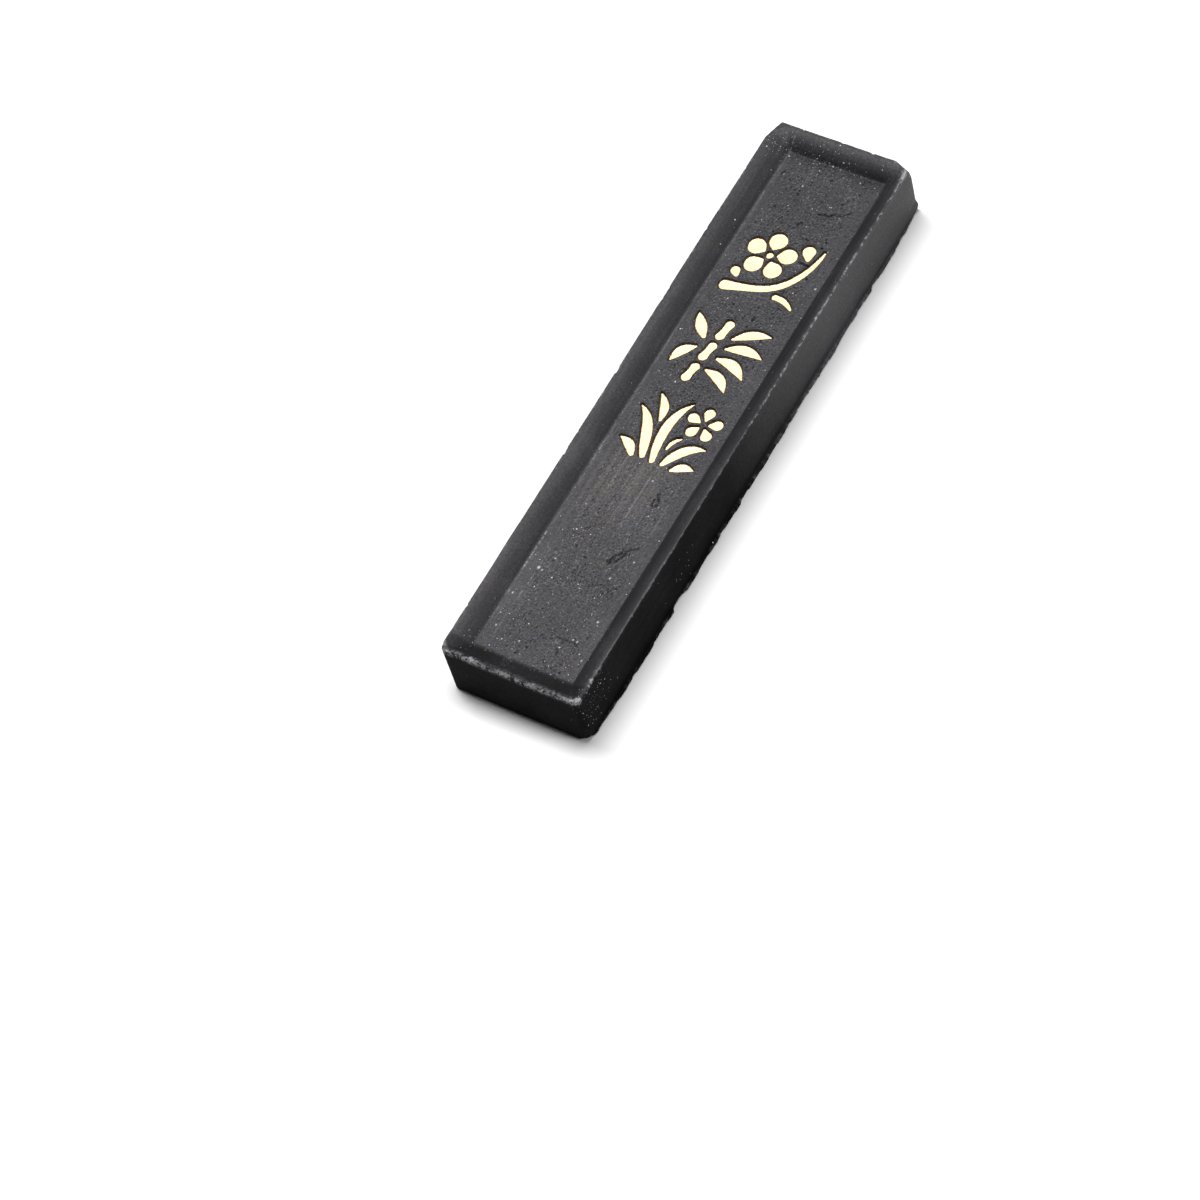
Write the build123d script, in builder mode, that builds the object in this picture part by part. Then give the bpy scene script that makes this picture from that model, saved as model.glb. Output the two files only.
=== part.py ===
from build123d import *

import os
from math import cos, radians, sin

# A moulded ink stick that lies on its back. X runs across the stick, Y along it towards the top of
# the ornament, and Z up through it. The origin is at the middle of its underside. All in millimetres.

# ---------------------------------------------------------------- driving dimensions

# The cake
LENGTH = 100.0
WIDTH = 22.6
HEIGHT = 10.7
UPRIGHT_EDGE_RADIUS = 0.8

# The burr that the mould left where its two halves met, along both long sides at the underside
BURR_WIDTH = 0.4
BURR_THICKNESS = 0.35
BURR_END_GAP = 1.5

# The frame round each face: a flat land, then a rounded moulding that steepens down to the panel
LAND_WIDTH = 0.4
SIDE_MOULDING_WIDTH = 2.6
END_MOULDING_WIDTH = 3.1
MOULDING_START_SLOPE = 18.0
FRONT_PANEL_DEPTH = 1.8
BACK_PANEL_DEPTH = 1.2

# The impressed strokes and the gold paint in the bottom of each
STROKE_DEPTH = 0.6
PAINT_THICKNESS = 0.12

# Where the three ornaments stand on the panel, from top to bottom
PLUM_CENTRE = (0.5, 27.0)
BAMBOO_CENTRE = (0.2, 10.5)
ORCHID_CENTRE = (0.3, -4.2)

# The plum blossom
BLOSSOM_CENTRE = (-1.7, 1.9)
PETAL_COUNT = 5
PETAL_LOBE_RADIUS = 1.5
PETAL_LOBE_DISTANCE = 2.75
PETAL_BASE_RADIUS = 0.35
PETAL_BASE_DISTANCE = 1.3
STAMEN_RADIUS = 0.65

# The orchid flower: each petal's direction in degrees
ORCHID_FLOWER_CENTRE = (3.9, 3.1)
ORCHID_PETAL_DIRECTIONS = (20, 92, 164, 236, 308)
ORCHID_PETAL_LOBE_RADIUS = 0.95
ORCHID_PETAL_LOBE_DISTANCE = 2.05
ORCHID_PETAL_BASE_RADIUS = 0.3
ORCHID_PETAL_BASE_DISTANCE = 0.85

# Worked out from the above
FRONT_PANEL_HEIGHT = HEIGHT - FRONT_PANEL_DEPTH
PAINT_BASE_HEIGHT = FRONT_PANEL_HEIGHT - STROKE_DEPTH


# ---------------------------------------------------------------- outlines of the strokes


def polar(centre, distance, direction):
    """The point at a distance from a centre, in a direction in degrees."""
    angle = radians(direction)
    return (centre[0] + distance * cos(angle), centre[1] + distance * sin(angle))


def brush_stroke(path, widths):
    """A stroke of a brush: a smooth edge on each side of a short path, and a round cap at each end."""
    points = [Vector(*point) for point in path]
    left, right, along = [], [], []
    for i, point in enumerate(points):
        before = points[max(i - 1, 0)]
        after = points[min(i + 1, len(points) - 1)]
        direction = (after - before).normalized()
        side = Vector(-direction.Y, direction.X) * (widths[i] / 2)
        along.append(direction)
        left.append(point + side)
        right.append(point - side)
    start_cap = points[0] - along[0] * (widths[0] / 2)
    end_cap = points[-1] + along[-1] * (widths[-1] / 2)
    with BuildSketch() as stroke:
        with BuildLine():
            Spline(*left)
            Spline(*right)
            ThreePointArc(left[0], start_cap, right[0])
            ThreePointArc(left[-1], end_cap, right[-1])
        make_face()
    return stroke.sketch


def dab(start, end, start_radius, end_radius):
    """One press of a loaded brush: a small round start that swells to a large round end."""
    with BuildSketch() as press:
        with Locations(start):
            Circle(start_radius)
        with Locations(end):
            Circle(end_radius)
        make_hull()
    return press.sketch


def dot(centre, radius):
    """A round spot."""
    with BuildSketch() as spot:
        with Locations(centre):
            Circle(radius)
    return spot.sketch


def plum_strokes():
    """A five-petalled blossom inside the bend of a twig, with a side spur and two buds."""
    strokes = {}
    for i in range(PETAL_COUNT):
        direction = 90 + i * 360 / PETAL_COUNT
        strokes[f"plum_petal_{i + 1}"] = dab(
            polar(BLOSSOM_CENTRE, PETAL_BASE_DISTANCE, direction),
            polar(BLOSSOM_CENTRE, PETAL_LOBE_DISTANCE, direction),
            PETAL_BASE_RADIUS,
            PETAL_LOBE_RADIUS,
        )
    strokes["plum_centre"] = dot(BLOSSOM_CENTRE, STAMEN_RADIUS)
    strokes["plum_twig"] = brush_stroke(
        [(-5.4, -5.2), (-2.2, -4.5), (1.7, -2.9), (4.5, 0.7), (5.7, 5.3)],
        [2.0, 1.5, 1.4, 1.2, 0.6],
    )
    strokes["plum_spur"] = brush_stroke([(2.6, -4.4), (4.2, -4.6), (5.8, -5.6)], [1.2, 1.1, 0.5])
    strokes["plum_bud_upper"] = dab((3.9, 3.3), (3.4, 4.7), 0.4, 1.1)
    strokes["plum_bud_lower"] = dab((-4.6, -3.1), (-5.2, -2.3), 0.35, 0.85)
    return strokes


def bamboo_strokes():
    """Three segments of a leaning culm, with leaves that spring out on both sides of it."""
    strokes = {}
    culm_widths = [1.7, 1.4, 1.7]
    strokes["bamboo_culm_lower"] = brush_stroke([(-2.5, -5.2), (-2.3, -4.2), (-2.1, -3.2)], culm_widths)
    strokes["bamboo_culm_middle"] = brush_stroke([(-1.9, -1.1), (-1.7, -0.1), (-1.5, 0.9)], culm_widths)
    strokes["bamboo_culm_upper"] = brush_stroke([(-1.3, 3.0), (-1.1, 4.1), (-0.9, 5.2)], culm_widths)
    leaves = [
        ([(0.7, 3.2), (3.2, 4.9), (6.0, 5.6)], [0.7, 1.8, 0.3]),
        ([(0.6, 1.3), (3.4, 2.1), (6.4, 1.6)], [0.7, 1.9, 0.3]),
        ([(0.3, -0.7), (2.9, -0.9), (5.4, -2.7)], [0.7, 1.9, 0.3]),
        ([(-0.3, -3.0), (2.0, -3.6), (4.0, -5.6)], [0.7, 1.8, 0.3]),
        ([(-3.4, 1.9), (-4.9, 3.7), (-6.2, 5.6)], [0.7, 1.9, 0.3]),
        ([(-3.7, 0.0), (-5.3, -1.4), (-6.2, -3.7)], [0.7, 1.9, 0.3]),
    ]
    for i, (path, widths) in enumerate(leaves):
        strokes[f"bamboo_leaf_{i + 1}"] = brush_stroke(path, widths)
    return strokes


def orchid_strokes():
    """Arching blades from one root, with a flower on a short stem to their right."""
    strokes = {}
    blades = [
        ([(-0.1, -5.2), (-0.9, -0.6), (-0.5, 3.0), (1.0, 5.7)], [1.0, 1.7, 1.5, 0.4]),
        ([(-1.8, -5.0), (-3.2, -1.2), (-4.4, 1.1), (-6.1, 2.7)], [1.0, 1.8, 1.5, 0.4]),
        ([(1.6, -5.1), (3.0, -2.6), (4.6, -1.2), (6.3, -0.7)], [1.0, 1.8, 1.5, 0.4]),
        ([(-3.4, -5.4), (-4.9, -3.7), (-6.3, -3.2)], [0.9, 1.6, 0.4]),
        ([(3.3, -5.5), (4.8, -4.5), (6.3, -4.4)], [0.9, 1.6, 0.4]),
        ([(-2.4, 1.4), (-2.9, 3.6), (-4.4, 5.6)], [0.7, 1.5, 0.4]),
    ]
    for i, (path, widths) in enumerate(blades):
        strokes[f"orchid_blade_{i + 1}"] = brush_stroke(path, widths)
    strokes["orchid_stem"] = brush_stroke([(0.9, -2.6), (1.3, -1.2), (2.1, -0.3)], [0.6, 0.9, 0.6])
    for i, direction in enumerate(ORCHID_PETAL_DIRECTIONS):
        strokes[f"orchid_petal_{i + 1}"] = dab(
            polar(ORCHID_FLOWER_CENTRE, ORCHID_PETAL_BASE_DISTANCE, direction),
            polar(ORCHID_FLOWER_CENTRE, ORCHID_PETAL_LOBE_DISTANCE, direction),
            ORCHID_PETAL_BASE_RADIUS,
            ORCHID_PETAL_LOBE_RADIUS,
        )
    return strokes


def placed(strokes, centre):
    """The strokes of one ornament, moved to its place on the panel."""
    return {name: Pos(*centre) * outline for name, outline in strokes.items()}


# ---------------------------------------------------------------- the sunk panels


def frame_section(half_opening, moulding_width, depth):
    """The section of a sunk panel: open at the land, rounded down its moulding, flat at its floor."""
    rim = (half_opening, 0)
    foot = (half_opening - moulding_width, -depth)
    slope = radians(MOULDING_START_SLOPE)
    with BuildSketch() as section:
        with BuildLine():
            Line((0, -depth), foot)
            TangentArc(rim, foot, tangent=(-cos(slope), -sin(slope)))
            Line(rim, (half_opening, depth))
            Line((half_opening, depth), (0, depth))
            mirror(about=Plane.YZ)
        make_face()
    return section.sketch


def sunk_panel(depth):
    """The hollow of a framed panel, mitred at its corners, with its rim at height 0."""
    across = frame_section(WIDTH / 2 - LAND_WIDTH, SIDE_MOULDING_WIDTH, depth)
    along = frame_section(LENGTH / 2 - LAND_WIDTH, END_MOULDING_WIDTH, depth)
    with BuildPart() as hollow:
        with BuildSketch(Plane.XZ):
            add(across)
        extrude(amount=LENGTH / 2, both=True)
        with BuildSketch(Plane.YZ):
            add(along)
        extrude(amount=WIDTH / 2, both=True, mode=Mode.INTERSECT)
    return hollow.part


# ---------------------------------------------------------------- the pieces

gilt_strokes = {
    **placed(plum_strokes(), PLUM_CENTRE),
    **placed(bamboo_strokes(), BAMBOO_CENTRE),
    **placed(orchid_strokes(), ORCHID_CENTRE),
}
front_hollow = sunk_panel(FRONT_PANEL_DEPTH)
back_hollow = sunk_panel(BACK_PANEL_DEPTH)

os.makedirs("parts", exist_ok=True)

with BuildPart() as ink_body:
    with BuildSketch():
        RectangleRounded(WIDTH, LENGTH, UPRIGHT_EDGE_RADIUS)
    extrude(amount=HEIGHT)
    with BuildSketch():
        Rectangle(WIDTH + 2 * BURR_WIDTH, LENGTH - 2 * BURR_END_GAP)
    extrude(amount=BURR_THICKNESS)
    with Locations((0, 0, HEIGHT)):
        add(front_hollow, mode=Mode.SUBTRACT)
    add(back_hollow, rotation=(0, 180, 0), mode=Mode.SUBTRACT)
    with BuildSketch(Plane.XY.offset(FRONT_PANEL_HEIGHT)):
        for outline in gilt_strokes.values():
            add(outline)
    extrude(amount=-STROKE_DEPTH, mode=Mode.SUBTRACT)
ink_body.part.label = "ink_body"
export_step(ink_body.part, "parts/ink_body.step")

for name, outline in gilt_strokes.items():
    with BuildPart() as gilt:
        with BuildSketch(Plane.XY.offset(PAINT_BASE_HEIGHT)):
            add(outline)
        extrude(amount=PAINT_THICKNESS)
    gilt.part.label = name
    export_step(gilt.part, f"parts/{name}.step")
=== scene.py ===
"""The looks of a moulded ink stick: a worn cake of soot and glue with gilt in its impressed strokes.

Shapes are worked out in millimetres and written to Blender in metres, in the frame of the CAD model:
X across the stick, Y along it, Z up, with the origin in the middle of the underside.
"""

from math import cos, radians, sin
from itertools import product

import bpy
import numpy as np
from mathutils import Matrix, Vector


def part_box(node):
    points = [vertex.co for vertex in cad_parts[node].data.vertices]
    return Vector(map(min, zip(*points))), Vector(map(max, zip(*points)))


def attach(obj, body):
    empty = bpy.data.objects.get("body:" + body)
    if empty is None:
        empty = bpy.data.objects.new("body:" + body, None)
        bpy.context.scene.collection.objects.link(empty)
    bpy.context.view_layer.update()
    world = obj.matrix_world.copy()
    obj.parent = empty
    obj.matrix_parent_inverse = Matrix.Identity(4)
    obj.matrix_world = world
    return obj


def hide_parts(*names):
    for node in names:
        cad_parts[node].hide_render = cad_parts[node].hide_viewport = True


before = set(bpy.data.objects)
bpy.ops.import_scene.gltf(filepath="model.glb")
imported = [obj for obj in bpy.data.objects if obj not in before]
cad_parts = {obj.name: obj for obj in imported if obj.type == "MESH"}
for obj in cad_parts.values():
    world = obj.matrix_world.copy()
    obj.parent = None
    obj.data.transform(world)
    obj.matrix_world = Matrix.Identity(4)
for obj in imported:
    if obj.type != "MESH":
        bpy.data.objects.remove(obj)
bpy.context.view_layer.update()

MM = 0.001
BODY = "root"
CAKE = "ink_body"
GILT_NODES = sorted(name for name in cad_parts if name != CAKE)

# ---------------------------------------------------------------- dimensions, in millimetres

CAKE_HIGH = np.array(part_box(CAKE)[1]) / MM
BURR_WIDTH = 0.4
BURR_THICKNESS = 0.35
HALF_WIDTH = CAKE_HIGH[0] - BURR_WIDTH
HALF_LENGTH = CAKE_HIGH[1]
HEIGHT = CAKE_HIGH[2]

FRONT_PANEL_DEPTH = 1.8
BACK_PANEL_DEPTH = 1.2
PAINT_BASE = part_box(GILT_NODES[0])[0][2] / MM
PANEL_HEIGHT = HEIGHT - FRONT_PANEL_DEPTH
STROKE_DEPTH = PANEL_HEIGHT - PAINT_BASE

# The mean radii of the worn edges, and the width of a pressed stroke's steep wall
UPRIGHT_RADIUS = 0.9
SHARP_UPRIGHT_RADIUS = 0.4
RIM_RADIUS = 0.13
BASE_RADIUS = 0.3
STROKE_WALL = 0.2

# ---------------------------------------------------------------- camera

CAMERA_AIM = (5.9, -33.8, HEIGHT)
CAMERA_DISTANCE = 659.0
CAMERA_AZIMUTH = 45.06
CAMERA_ELEVATION = 56.67
CAMERA_ROLL = 18.24
CAMERA_LENS = 141.0
CAMERA_SENSOR = 36.0


def direction(azimuth, elevation):
    """The way to a place round the stick, in degrees: azimuth 0 is -Y and 90 is +X."""
    azimuth, elevation = radians(azimuth), radians(elevation)
    return Vector((sin(azimuth) * cos(elevation), -cos(azimuth) * cos(elevation), sin(elevation)))


def add_camera():
    """A long lens that looks down on the stick from its near right corner, rolled clockwise."""
    back = direction(CAMERA_AZIMUTH, CAMERA_ELEVATION)
    level_right = direction(CAMERA_AZIMUTH + 90, 0)
    level_up = back.cross(level_right)
    roll = radians(CAMERA_ROLL)
    right = level_right * cos(roll) - level_up * sin(roll)
    up = level_up * cos(roll) + level_right * sin(roll)
    data = bpy.data.cameras.new("camera")
    data.lens = CAMERA_LENS
    data.sensor_width = CAMERA_SENSOR
    data.clip_start = 0.01
    data.clip_end = 10.0
    camera = bpy.data.objects.new("camera", data)
    place = (Vector(CAMERA_AIM) + back * CAMERA_DISTANCE) * MM
    camera.matrix_world = Matrix.Translation(place) @ Matrix((right, up, back)).transposed().to_4x4()
    bpy.context.scene.collection.objects.link(camera)
    bpy.context.scene.camera = camera


# ---------------------------------------------------------------- noise and blending


def cell_random(x, y, z, seed):
    """A repeatable random number from 0 to 1 for each whole-number cell."""
    mask = 0xFFFFFFFF
    mixed = (x * 374761393 + y * 668265263 + z * 1103515245 + seed * 1274126177) & mask
    mixed = ((mixed ^ (mixed >> 13)) * 1274126177) & mask
    mixed = ((mixed ^ (mixed >> 16)) * 668265263) & mask
    return ((mixed ^ (mixed >> 15)) & 0xFFFFFF) / 0xFFFFFF


def soft_noise(points, size, seed):
    """Smooth noise from -1 to 1 whose bumps are about size across, one number or one for each axis."""
    scaled = points / size
    cell = np.floor(scaled).astype(np.int64)
    share = scaled - cell
    share = share * share * (3 - 2 * share)
    total = np.zeros(len(points))
    for step in product((0, 1), repeat=3):
        weight = np.prod(np.where(step, share, 1 - share), axis=1)
        total += weight * cell_random(*(cell + step).T, seed)
    return 2 * total - 1


def rough_noise(points, size, seed, octaves=3):
    """Soft noise with finer and weaker copies of itself added."""
    total = np.zeros(len(points))
    reach = 0
    for octave in range(octaves):
        strength = 0.5**octave
        total += strength * soft_noise(points, np.array(size) * strength, seed + octave)
        reach += strength
    return total / reach


def smooth_step(value, start, end):
    """0 before start, 1 after end, and smooth between them."""
    share = np.clip((value - start) / (end - start), 0, 1)
    return share * share * (3 - 2 * share)


def smooth_min(first, second, blend):
    """The lower of two heights, with the corner between them rounded over about blend."""
    share = np.clip(0.5 + 0.5 * (second - first) / blend, 0, 1)
    return second + (first - second) * share - blend * share * (1 - share)


def hump(distance, reach):
    """1 at no distance, falling smoothly to almost nothing at twice the reach."""
    return np.exp(-((distance / reach) ** 2))


def zone(points, centre, reach):
    """1 at a place on the cake, falling smoothly to almost nothing at twice its reach on each axis."""
    return np.exp(-(((points - centre) / reach) ** 2).sum(1))


# ---------------------------------------------------------------- the impressed strokes


def outline_of(node):
    """The straight pieces of a gilt node's outline, as an array of (start, end) in millimetres."""
    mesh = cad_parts[node].data
    points = np.array([v.co for v in mesh.vertices]) / MM
    top = points[:, 2].max() - 0.01
    edges = {}
    for polygon in mesh.polygons:
        ring = list(polygon.vertices)
        if all(points[i, 2] > top for i in ring):
            for a, b in zip(ring, ring[1:] + ring[:1]):
                start, end = tuple(np.round(points[a, :2], 4)), tuple(np.round(points[b, :2], 4))
                edges[start, end] = edges.get((start, end), 0) + 1
    return np.array([(a, b) for a, b in edges if (b, a) not in edges and a != b])


def distance_to_outline(points, outline):
    """Each point's distance to an outline, negative inside it, and the direction away from it."""
    start, end = outline[:, 0], outline[:, 1]
    along = end - start
    length_squared = (along**2).sum(1)
    nearest = np.full(len(points), 1e9)
    away = np.zeros((len(points), 2))
    crossings = np.zeros(len(points), int)
    for s, e, d, n in zip(start, end, along, length_squared):
        share = np.clip(((points - s) @ d) / n, 0, 1)
        gap = points - (s + share[:, None] * d)
        distance = np.hypot(*gap.T)
        closer = distance < nearest
        nearest[closer] = distance[closer]
        away[closer] = gap[closer] / np.maximum(distance[closer], 1e-9)[:, None]
        straddles = (s[1] > points[:, 1]) != (e[1] > points[:, 1])
        if d[1] != 0:
            reach = s[0] + (points[:, 1] - s[1]) / d[1] * d[0]
            crossings += straddles & (points[:, 0] < reach)
    inside = crossings % 2 == 1
    nearest[inside] *= -1
    away[inside] *= -1
    return nearest, away


OUTLINES = {name: outline_of(name) for name in GILT_NODES}
OUTLINE_LOW = np.min([outline.min((0, 1)) for outline in OUTLINES.values()], 0)
OUTLINE_HIGH = np.max([outline.max((0, 1)) for outline in OUTLINES.values()], 0)
FAR_OFF = 1e3


def distance_to_strokes(points):
    """Each point's distance to the nearest stroke's outline, negative inside a stroke."""
    nearest = np.full(len(points), FAR_OFF)
    margin = 0.8
    for outline in OUTLINES.values():
        low, high = outline.min((0, 1)) - margin, outline.max((0, 1)) + margin
        close = np.flatnonzero(((points > low) & (points < high)).all(1))
        distance, _ = distance_to_outline(points[close], outline)
        nearest[close] = np.minimum(nearest[close], distance)
    return nearest


# ---------------------------------------------------------------- the front and back faces


# Each side's moulding: its flat land, its width from the land to the foot, and its slope at the
# land. The CAD model's frame is even; the moulded one differs a little from side to side.
RIGHT_MOULDING = (0.05, 2.6, radians(17))
LEFT_MOULDING = (0.35, 3.05, radians(8))
NEAR_MOULDING = (0.3, 3.2, radians(27))
FAR_MOULDING = (0.5, 2.6, radians(13))
BACK_SIDE_MOULDING = (0.4, 2.6, radians(18))
BACK_END_MOULDING = (0.4, 3.1, radians(18))

# The side mouldings lean to the right by this share of the way along the stick.
PANEL_SKEW = 0.005

# The front panel dips at its far end.
FAR_DIP = 0.16
FAR_DIP_START = 44.6
FAR_DIP_END = 47.3

# How widely each foot and each mitre is rounded
FOOT_SOFTNESS = 0.14
LEFT_FOOT_SOFTNESS = 0.12
FAR_FOOT_SOFTNESS = 0.25
MITRE_SOFTNESS = 0.3
FAR_MITRE_SOFTNESS = 0.5
BACK_FOOT_SOFTNESS = 0.25


def moulding_fall(inset, moulding, depth):
    """How far a moulding has fallen, at a distance in from the edge: an arc, then on down its tangent."""
    land, width, slope = moulding
    radius = (width**2 + depth**2) / (2 * (depth * cos(slope) - width * sin(slope)))
    lead = radius * sin(slope)
    foot = width + lead
    across = np.clip(inset - land, 0, width) + lead
    fall = radius * cos(slope) - np.sqrt(radius**2 - across**2)
    steepness = foot / np.sqrt(radius**2 - foot**2)
    return fall + np.maximum(inset - land - width, 0) * steepness


def front_fall(plan):
    """How far the front face lies below its rim: crisp at the right foot, softest at the far end."""
    x, y = plan.T
    shifted = x - PANEL_SKEW * y
    right = moulding_fall(HALF_WIDTH - shifted, RIGHT_MOULDING, FRONT_PANEL_DEPTH)
    left = moulding_fall(HALF_WIDTH + shifted, LEFT_MOULDING, FRONT_PANEL_DEPTH)
    near = moulding_fall(HALF_LENGTH + y, NEAR_MOULDING, FRONT_PANEL_DEPTH)
    far = moulding_fall(HALF_LENGTH - y, FAR_MOULDING, FRONT_PANEL_DEPTH)
    at_far_end = smooth_step(y, HALF_LENGTH - 9, HALF_LENGTH - 4)
    foot_softness = FOOT_SOFTNESS + LEFT_FOOT_SOFTNESS * smooth_step(-x, 0, HALF_WIDTH)
    foot_softness += FAR_FOOT_SOFTNESS * at_far_end
    mitre_softness = MITRE_SOFTNESS + FAR_MITRE_SOFTNESS * at_far_end
    frame_fall = smooth_min(np.minimum(left, right), np.minimum(near, far), mitre_softness)
    floor = FRONT_PANEL_DEPTH + FAR_DIP * smooth_step(y, FAR_DIP_START, FAR_DIP_END)
    return np.maximum(smooth_min(frame_fall, floor, foot_softness), 0)


def back_fall(plan):
    """How far the back face lies in from its rim."""
    side = moulding_fall(HALF_WIDTH - np.abs(plan[:, 0]), BACK_SIDE_MOULDING, BACK_PANEL_DEPTH)
    end = moulding_fall(HALF_LENGTH - np.abs(plan[:, 1]), BACK_END_MOULDING, BACK_PANEL_DEPTH)
    frame_fall = smooth_min(side, end, MITRE_SOFTNESS)
    floor = np.full(len(plan), BACK_PANEL_DEPTH)
    return np.maximum(smooth_min(frame_fall, floor, BACK_FOOT_SOFTNESS), 0)


# ---------------------------------------------------------------- marks on the panel


# Creases where the soft ink folded as it was pressed: their path, width and depth
CREASES = [
    ([(2.0, 38.3), (3.0, 38.4), (4.1, 38.8)], 0.13, 0.2),
    ([(3.8, 38.9), (5.3, 39.2), (6.4, 40.2)], 0.12, 0.17),
    ([(3.6, 29.5), (4.4, 29.2), (5.2, 29.3), (5.8, 28.7)], 0.12, 0.2),
    ([(-6.6, 42.8), (-6.3, 43.3)], 0.16, 0.16),
    ([(0.0, 35.6), (0.3, 35.9)], 0.2, 0.16),
    ([(2.1, 18.2), (2.2, 17.6)], 0.16, 0.16),
    ([(3.9, -14.0), (4.4, -14.6), (4.75, -15.5), (4.6, -16.3), (4.1, -16.0), (4.0, -15.0)], 0.1, 0.16),
    ([(5.9, -23.2), (5.4, -23.7), (4.7, -24.1), (4.1, -24.6)], 0.15, 0.13),
    ([(4.0, -24.8), (3.4, -25.7), (3.1, -26.5), (3.3, -27.0)], 0.13, 0.2),
    ([(4.6, -24.6), (4.4, -25.4), (3.9, -26.5)], 0.12, 0.18),
    ([(3.8, -25.4), (3.5, -26.3)], 0.1, 0.15),
    ([(3.9, -25.0), (3.5, -26.6)], 0.45, 0.05),
    ([(4.3, -26.9), (4.3, -28.8)], 0.1, 0.07),
    ([(2.4, -40.6), (3.4, -40.7), (4.6, -40.5), (5.7, -40.8)], 0.12, 0.12),
    ([(3.3, -42.4), (3.7, -42.9)], 0.13, 0.1),
    ([(2.3, -44.2), (2.7, -45.0), (3.6, -45.8)], 0.12, 0.09),
]

# Pale scratches along the panel: where each starts and ends, its width and its strength
SCRATCHES = [
    ((-6.2, -45.5), (-6.0, -36.0), 0.14, 0.5),
    ((-5.9, -35.0), (-5.8, -27.0), 0.1, 0.35),
    ((-7.2, -44.0), (-7.3, -38.5), 0.08, 0.3),
    ((6.3, -20.0), (6.2, -11.5), 0.1, 0.3),
    ((1.6, -21.0), (1.5, -12.0), 0.12, 0.35),
    ((-1.4, -19.5), (-1.3, -10.5), 0.14, 0.4),
    ((-3.2, -17.0), (-3.2, -9.8), 0.1, 0.35),
    ((3.1, -14.5), (3.2, -9.8), 0.1, 0.3),
    ((5.6, 20.0), (5.7, 25.0), 0.08, 0.3),
    ((-4.6, 33.5), (-4.5, 38.0), 0.08, 0.25),
]

# Larger pale crumbs stuck to the panel: where each is and its radius
SPECKS = [
    ((-5.75, -31.75), 0.22),
    ((-5.1, -31.95), 0.14),
    ((-4.3, -29.5), 0.14),
    ((4.6, -29.3), 0.14),
    ((6.6, -36.3), 0.16),
    ((6.5, -25.6), 0.12),
    ((-7.1, -36.9), 0.14),
    ((-6.6, -42.5), 0.13),
    ((-2.2, -43.5), 0.12),
    ((7.6, -42.7), 0.12),
    ((4.8, -40.2), 0.13),
    ((5.5, -40.3), 0.14),
    ((3.6, -42.1), 0.13),
    ((2.2, -12.5), 0.13),
    ((8.0, 26.0), 0.14),
    ((-2.6, 41.8), 0.12),
]


def pits(plan, cell, share, smallest, largest, seed):
    """Round dimples from 0 to 1 deep, one in a share of the squares of a loose grid."""
    total = np.zeros(len(plan))
    square = np.floor(plan / cell).astype(np.int64)
    for step in product((-1, 0, 1), repeat=2):
        x, y = (square + step).T
        layer = np.zeros_like(x)
        centre = np.stack([x + cell_random(x, y, layer, seed), y + cell_random(x, y, layer, seed + 1)], 1)
        radius = smallest + (largest - smallest) * cell_random(x, y, layer, seed + 2) ** 2
        kept = cell_random(x, y, layer, seed + 3) < share
        distance = np.hypot(*(plan - centre * cell).T) / radius
        total = np.maximum(total, np.where(kept, np.clip(1 - distance**2, 0, 1), 0))
    return total


def stuck_crumbs(plan):
    """How much of a larger crumb stands at each point, from 0 to 1."""
    total = np.zeros(len(plan))
    for centre, radius in SPECKS:
        distance = np.hypot(*(plan - centre).T) / radius
        total = np.maximum(total, np.clip(1.3 - distance, 0, 1))
    return total


def distance_to_line(plan, start, end):
    """Each point's distance to a straight line between two ends."""
    start, along = np.array(start), np.subtract(end, start)
    share = np.clip(((plan - start) @ along) / (along @ along), 0, 1)
    return np.hypot(*(plan - start - share[:, None] * along).T)


def creases(plan, points):
    """How deep the creases are at each point of the front's plan."""
    wander = 0.18 * np.stack([soft_noise(points, 0.7, seed=41), soft_noise(points, 0.7, seed=42)], 1)
    total = np.zeros(len(plan))
    for path, width, depth in CREASES:
        for start, end in zip(path[:-1], path[1:]):
            total = np.maximum(total, depth * hump(distance_to_line(plan + wander, start, end), width))
    return total


def scratches(plan, points):
    """How strongly the panel is scratched at each point, from 0 to 1."""
    wander = np.column_stack([0.12 * soft_noise(points, (2, 4, 2), seed=43), np.zeros(len(points))])
    broken = smooth_step(rough_noise(points, (0.4, 1.6, 0.4), seed=44), -0.45, 0.35)
    total = np.zeros(len(plan))
    for start, end, width, strength in SCRATCHES:
        total = np.maximum(total, strength * hump(distance_to_line(plan + wander, start, end), width))
    return total * broken


# ---------------------------------------------------------------- the cake's grid


# How far apart the grid's lines are: under the strokes, on the mouldings, at the edges and elsewhere
STROKE_SPACING = 0.085
MOULDING_SPACING = 0.12
EDGE_SPACING = 0.09
END_SPACING = 0.13
PANEL_SPACING = 0.17
SIDE_SPACING = 0.22

# The back, and the sides below their upper band, keep every third of the front's lines.
COARSENING = 3


def graded(*stops):
    """Rising numbers: each stop is (where a stretch starts, its spacing), and the last is the end."""
    lines = []
    for (start, step), (end, _) in zip(stops[:-1], stops[1:]):
        count = max(1, round((end - start) / step))
        lines.append(np.linspace(start, end, count, endpoint=False))
    return np.concatenate(lines + [[stops[-1][0]]])


def mirrored(*stops):
    """Lines graded from the middle out to an end, and the same on the other side."""
    half = graded(*stops)
    return np.concatenate([-half[:0:-1], half])


def thinned(lines, keep_every):
    """Every so many of the lines, with both ends kept."""
    kept = lines[::keep_every]
    if kept[-1] != lines[-1]:
        kept = np.append(kept[:-1], lines[-1])
    return kept


def flat_grid(x_lines, y_lines, level):
    """The points where the lines cross, row by row, all at one level."""
    y, x = np.meshgrid(y_lines, x_lines, indexing="ij")
    return np.stack([x.ravel(), y.ravel(), np.full(x.size, float(level))], 1)


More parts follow.
